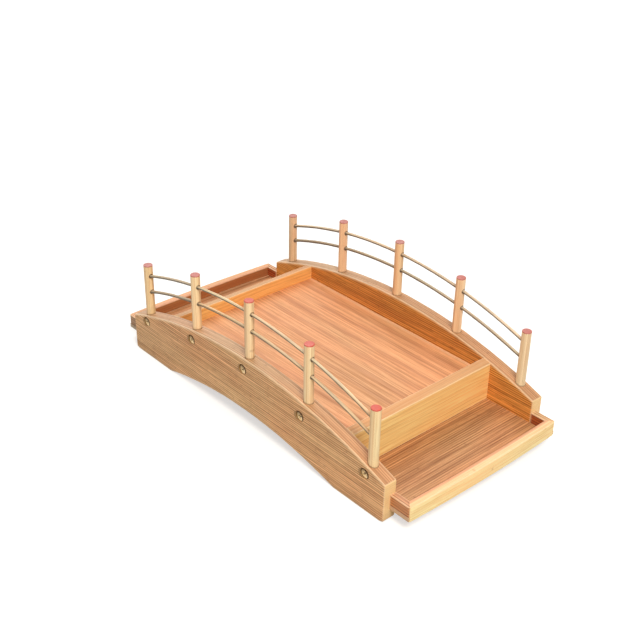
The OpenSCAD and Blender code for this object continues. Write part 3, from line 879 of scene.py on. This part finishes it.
def rail(side, crown, name, seed):
    """Tube on the rail's arc: centre (R sin t, R cos t), and square to it a section of r sin v across
    and r cos v up, where r wavers along the stick and is a little oval. The mask `stick` holds the
    place along, across and up."""
    reach = np.arcsin(rail_end_x / rail_arc_r) - rail_end_gap / rail_arc_r
    t = np.linspace(-reach, reach, rail_rings)
    v = np.linspace(0, 2 * np.pi, rail_sides, endpoint=False)
    length = t * rail_arc_r
    r = rail_r - rail_waver + waver(length, rail_waver, seed)[:, None] + rail_oval * np.cos(2 * v + seed)
    r[[0, -1]] *= rail_end_share
    across, up = r * np.sin(v), r * np.cos(v)
    out = rail_arc_r + up
    points = np.dstack([out * np.sin(t)[:, None], side * post_y + across,
                        crown - rail_arc_r + out * np.cos(t)[:, None]])
    stick = np.dstack([np.broadcast_to(length[:, None], out.shape), across, up])
    faces = tube_faces(rail_rings, rail_sides)
    return make_mesh(name, points.reshape(-1, 3), faces, {"stick": stick.reshape(-1, 3)})


def rail_finish(name, seed, wood, left_grey_share):
    """Rail finish: dry bamboo with its fibre along the stick, weathered grey in long patches, greyer over
    the stretch by the left end post as far as left_grey_share says, and darker below: painted shade."""
    made = bamboo(name, "XYZ", rail_strip, seed, wood, wood, wood, dark=0.62, seams=0.1)
    tree = made.node_tree
    stick = wire(tree, "Attribute", {}, attribute_name="stick").outputs["Vector"]
    tree.links.new(stick, tree.nodes["grain"].inputs["Place"])
    colour = tree.nodes["Principled BSDF"].inputs["Base Color"]
    plain = colour.links[0].from_socket
    patches = ramp(tree, noise(tree, stick, (26, 300, 300)), *rail_patch_cut, 0.0, rail_patch_share)
    # Greyer towards the left end post.
    left_grey = ramp(tree, parts_of(tree, stick)[0], rail_left_grey_start, rail_left_grey_full, 0.0, left_grey_share)
    weathered = blend(tree, sums(tree, "MAXIMUM", patches, left_grey), plain, rail_grey)
    # Painted shade on the stick's underside.
    under = ramp(tree, facing(tree)[2], *rail_underside_cosines, 0.0, rail_underside_share)
    tree.links.new(blend(tree, under, weathered, rail_underside_shade), colour)
    return made


for side, where in ((-1, "near"), (1, "far")):
    for level, crown in rail_crowns.items():
        seed = 61 + side + (level == "upper") * 5
        finish = rail_finish(f"stick_{where}_{level}_finish", seed, rail_wood[f"{where}_{level}"],
                             rail_left_grey_share[where])
        stick = rail(side, crown, f"stick_{where}_{level}", seed)
        fit(stick, finish, f"rail_{where}_{level}")

# Screws: ten brass screws with crowned heads and a cross recess, sunk in the panels' outer faces.
# Each pins a post. They are dull, with painted shade in the cross and towards the upper left, and
# a painted shadow of the pit's rim on the upper right.
head_r = 0.0055
head_h = 0.0016
head_crown = 0.0009
head_edge = 0.0001
head_under_share = 0.97
head_rings = 26
head_hub_share = 0.02
shank_r = 0.00175
shank_l = 0.0085
point_l = 0.0024
point_r = 0.0002
point_middle_share = 0.6
screw_sides = 96
cross_w = 0.0015
cross_l = 0.0055
cross_deep = 0.0009
cross_side_ease = 0.00012
cross_end_ease = 0.0002
cross_rise_share = 0.55
cross_turns = np.radians([18, 62, 37, 8, 51])
# Painted shade on the heads: a lit patch off the middle, a painted shadow of the pit's rim round it, shade
# in the cross and towards the upper left.
lit_middle = (-0.3, -0.35)
lit_r = 0.82
rim_shadow_fade = 0.12
slot_shade = 0.8
shade_middle = 0.2
shade_left = 0.4
shade_up = 0.5
shade_most = 0.75
brass_dull = srgb(228, 190, 130)
brass_bright = srgb(255, 230, 184)
brass_shade = srgb(84, 48, 8)
brass_metallic = (0.5, 0.05)
brass_roughness = (0.36, 0.5)
brass_specular = 0.12
scratch_depth = 0.00008


def screw_mesh():
    """One screw about Z, tip at the origin: turned shank and a head whose crown falls by the fifth
    power of the distance from its middle. Its top is pushed down inside two crossed slots that get
    shallower outwards. Comes with a mask of the slots."""
    v = np.sin(np.linspace(np.pi / 2, head_hub_share, head_rings))
    crown_z = shank_l + head_h - head_crown * v ** 5
    shaft_r = [point_r, shank_r * point_middle_share, shank_r, shank_r, head_r * head_under_share, head_r]
    shaft_z = [0, point_l / 2, point_l, shank_l, shank_l, shank_l + head_edge]
    points, faces = turned(np.append(shaft_r, v * head_r), np.append(shaft_z, crown_z), screw_sides)
    x, y = abs(points[:, 0]), abs(points[:, 1])
    slots = [np.clip((cross_w / 2 - off) / cross_side_ease, 0, 1)
             * np.clip((cross_l / 2 - along) / cross_end_ease, 0, 1) for off, along in ((x, y), (y, x))]
    slot = np.maximum(*slots) * (points[:, 2] > shank_l + 2 * head_edge)
    points[:, 2] -= slot * cross_deep * (1 - cross_rise_share * np.hypot(x, y) / (cross_l / 2))
    return points, faces, slot


def head_shade_mask(spun, slots):
    """Mask of painted shade on a head, by its place in head radii: the cross, a painted shadow of the
    pit's rim on the upper right, where it is off a lit round patch, and shade that thickens to the
    upper left."""
    right, up = spun[:, 0] / head_r, spun[:, 1] / head_r
    off_lit = np.hypot(right - lit_middle[0], up - lit_middle[1])
    rim = np.clip((off_lit - lit_r) / rim_shadow_fade, 0, 1)
    upper_left_shade = np.clip(shade_middle - shade_left * right + shade_up * up, 0, shade_most)
    return np.maximum(slots * slot_shade, np.maximum(rim, upper_left_shade))


def brass():
    """Old brass: yellow-grey metal, blotched, dark with painted shade where the mask `head_shade` says."""
    made = bpy.data.materials.new("screw_brass_finish")
    made.use_nodes = True
    tree = made.node_tree
    shader = tree.nodes["Principled BSDF"]
    spot = place_on(tree)
    blotch = noise(tree, spot, (700, 700, 700), 3.0, 0.6)
    metal = blend(tree, ramp(tree, blotch, 0.35, 0.65), brass_dull, brass_bright)
    # Painted shade darkens the metal and dulls its shine where the mask says.
    shade_share = sums(tree, "MULTIPLY", read_mask(tree, "head_shade"), ramp(tree, blotch, 0.2, 0.6, 0.6, 1.0))
    tree.links.new(blend(tree, shade_share, metal, brass_shade), shader.inputs["Base Color"])
    tree.links.new(ramp(tree, shade_share, 0.0, 1.0, *brass_metallic), shader.inputs["Metallic"])
    tree.links.new(ramp(tree, blotch, 0.3, 0.7, *brass_roughness), shader.inputs["Roughness"])
    shader.inputs["Specular IOR Level"].default_value = brass_specular
    scratch = noise(tree, spot, (2600, 2600, 2600))
    bump = wire(tree, "Bump", {"Strength": 0.25, "Distance": scratch_depth, "Height": scratch})
    tree.links.new(bump.outputs[0], shader.inputs["Normal"])
    return made


brass_finish = brass()
screw_points, screw_faces, screw_slots = screw_mesh()
for side, where in ((-1, "near"), (1, "far")):
    points, faces, head_shade = [], [], []
    for (x, z), turn in zip(screw_places, cross_turns * -side):
        spun = screw_points @ np.array(Matrix.Rotation(turn, 3, "Z")).T
        head_shade.append(head_shade_mask(spun, screw_slots))
        faces += [[corner + len(points) * len(spun) for corner in face] for face in screw_faces]
        tip_y = side * (outer_y - counterbore_deep - shank_l)
        points.append(spun[:, [0, 2, 1]] * (1, side, 1) + (x, tip_y, z))
    heads = make_mesh(f"screw_set_{where}", np.concatenate(points), faces, {"head_shade": np.concatenate(head_shade)})
    fit(heads, brass_finish, f"screws_{where}")

# Table and light: a pale matt table that shows white and keeps a soft shadow, an even grey-white
# surround, a key lamp high on the front right and a wider, weaker one high on the back left.
table_half = 6.0
table_matt = srgb(196, 194, 190)
glow_reach = (0.35, 1.3)
glow_strength = (0.6, 0.85)
surround_light = 0.36
white = (1, 1, 1, 1)


def seen_direct(tree):
    """1 for what the camera sees, straight, mirrored or through glass, and 0 for what only lights."""
    rays = wire(tree, "LightPath", {}).outputs
    in_mirror_or_glass = sums(tree, "MAXIMUM", rays["Is Glossy Ray"], rays["Is Transmission Ray"])
    return sums(tree, "MAXIMUM", rays["Is Camera Ray"], in_mirror_or_glass)


table = make_mesh("table", [(-table_half, -table_half, 0), (table_half, -table_half, 0),
                            (table_half, table_half, 0), (-table_half, table_half, 0)], [[0, 1, 2, 3]])
table_finish = bpy.data.materials.new("table_finish")
table_finish.use_nodes = True
tree = table_finish.node_tree
tree.nodes.remove(tree.nodes["Principled BSDF"])
matt = wire(tree, "BsdfDiffuse", {"Color": table_matt}).outputs[0]
away = wire(tree, "VectorMath", {0: place_on(tree)}, operation="LENGTH").outputs["Value"]
strength = sums(tree, "MULTIPLY", seen_direct(tree), ramp(tree, away, *glow_reach, *glow_strength))
glow = wire(tree, "Emission", {"Color": white, "Strength": strength}).outputs[0]
both = wire(tree, "AddShader", {0: matt, 1: glow}).outputs[0]
tree.links.new(both, tree.nodes["Material Output"].inputs["Surface"])
table.data.materials.append(table_finish)

world = bpy.data.worlds.new("studio")
bpy.context.scene.world = world
world.use_nodes = True
tree = world.node_tree
surround = tree.nodes["Background"].inputs
surround["Color"].default_value = white
tree.links.new(ramp(tree, seen_direct(tree), 0.0, 1.0, surround_light, 1.0), surround["Strength"])


def lamp(name, place, size, watts, colour):
    """Round soft lamp that points at the bridge's middle."""
    light = bpy.data.lights.new(name, "AREA")
    light.shape, light.size, light.energy, light.color = "DISK", size, watts, colour
    made = bpy.data.objects.new(name, light)
    made.location = place
    made.rotation_euler = (-Vector(place)).to_track_quat("-Z", "Y").to_euler()
    bpy.context.scene.collection.objects.link(made)


lamp("key_lamp", place=(1.1, -0.55, 1.5), size=0.7, watts=26, colour=(1.0, 0.97, 0.92))
lamp("fill_lamp", place=(-1.1, 0.5, 1.7), size=1.6, watts=20, colour=(0.97, 0.97, 1.0))

# Camera: it looks down on the bridge from the front right, as the photograph does, through a slightly
# long lens, and it is tilted by about a degree.
camera_place = Vector((0.70505, -0.64564, 0.62889))
camera_target = Vector((-0.10882, 0.08767, 0.0026))
camera_roll = np.radians(1.15)
camera_lens = 59.5
camera_sensor = 36
camera = bpy.data.cameras.new("camera")
camera.lens = camera_lens
camera.sensor_width = camera_sensor
camera_object = bpy.data.objects.new("camera", camera)
look = (camera_target - camera_place).to_track_quat("-Z", "Y").to_matrix()
tilt = Matrix.Rotation(camera_roll, 3, "Z")
camera_object.matrix_world = Matrix.Translation(camera_place) @ (look @ tilt).to_4x4()
bpy.context.scene.collection.objects.link(camera_object)
bpy.context.scene.camera = camera_object
bpy.context.scene.view_settings.view_transform = "Standard"
